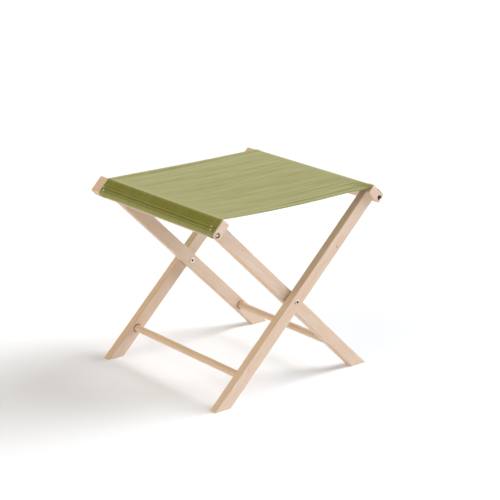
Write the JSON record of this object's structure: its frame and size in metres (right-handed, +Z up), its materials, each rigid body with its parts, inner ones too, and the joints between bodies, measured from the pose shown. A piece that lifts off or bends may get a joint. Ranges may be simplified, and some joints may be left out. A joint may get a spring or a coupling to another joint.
{
  "type": "folding stool",
  "caption": "Folding X stool with two crossed wooden leg frames, round stretchers and a canvas seat wrapped over flat top rails.",
  "frame": {"origin": "on the floor, midway between the four feet", "axes": "+Z up, Y along the pivot axis, the seat rails and the stretchers, +X towards the outer frame's seat rail"},
  "size_m": [0.4694, 0.44, 0.4217],
  "materials": {
    "wood": "oiled beech, satin, fine straight grain with short flecks",
    "dowel_wood": "turned beech dowel, satin",
    "canvas": "olive cotton canvas, plain weave with fine slubs, matt",
    "hardware": "satin nickel-plated steel",
    "washer": "dark brown nylon, matt"
  },
  "bodies": {
    "outer_frame": {"outer_leg_near": "wood", "outer_leg_far": "wood", "outer_rail": "wood", "outer_stretcher": "dowel_wood", "outer_rail_pins_near": "dowel_wood", "outer_rail_pins_far": "dowel_wood", "outer_canvas_rod": "dowel_wood", "pivot_bolt_near": "hardware", "pivot_bolt_far": "hardware", "pivot_sleeve_near": "hardware", "pivot_sleeve_far": "hardware", "spacer_washer_near": "washer", "spacer_washer_far": "washer", "seat_canvas": "canvas"},
    "inner_frame": {"inner_leg_near": "wood", "inner_leg_far": "wood", "inner_rail": "wood", "inner_stretcher": "dowel_wood", "inner_rail_pins_near": "dowel_wood", "inner_rail_pins_far": "dowel_wood", "inner_canvas_rod": "dowel_wood"}
  },
  "joints": [
    {"name": "fold", "type": "hinge", "parent": "outer_frame", "child": "inner_frame", "pos_m": [0, 0, 0.197], "axis": [0, 1, 0], "range_deg": [0, 84], "deforming": ["seat_canvas"]}
  ]
}
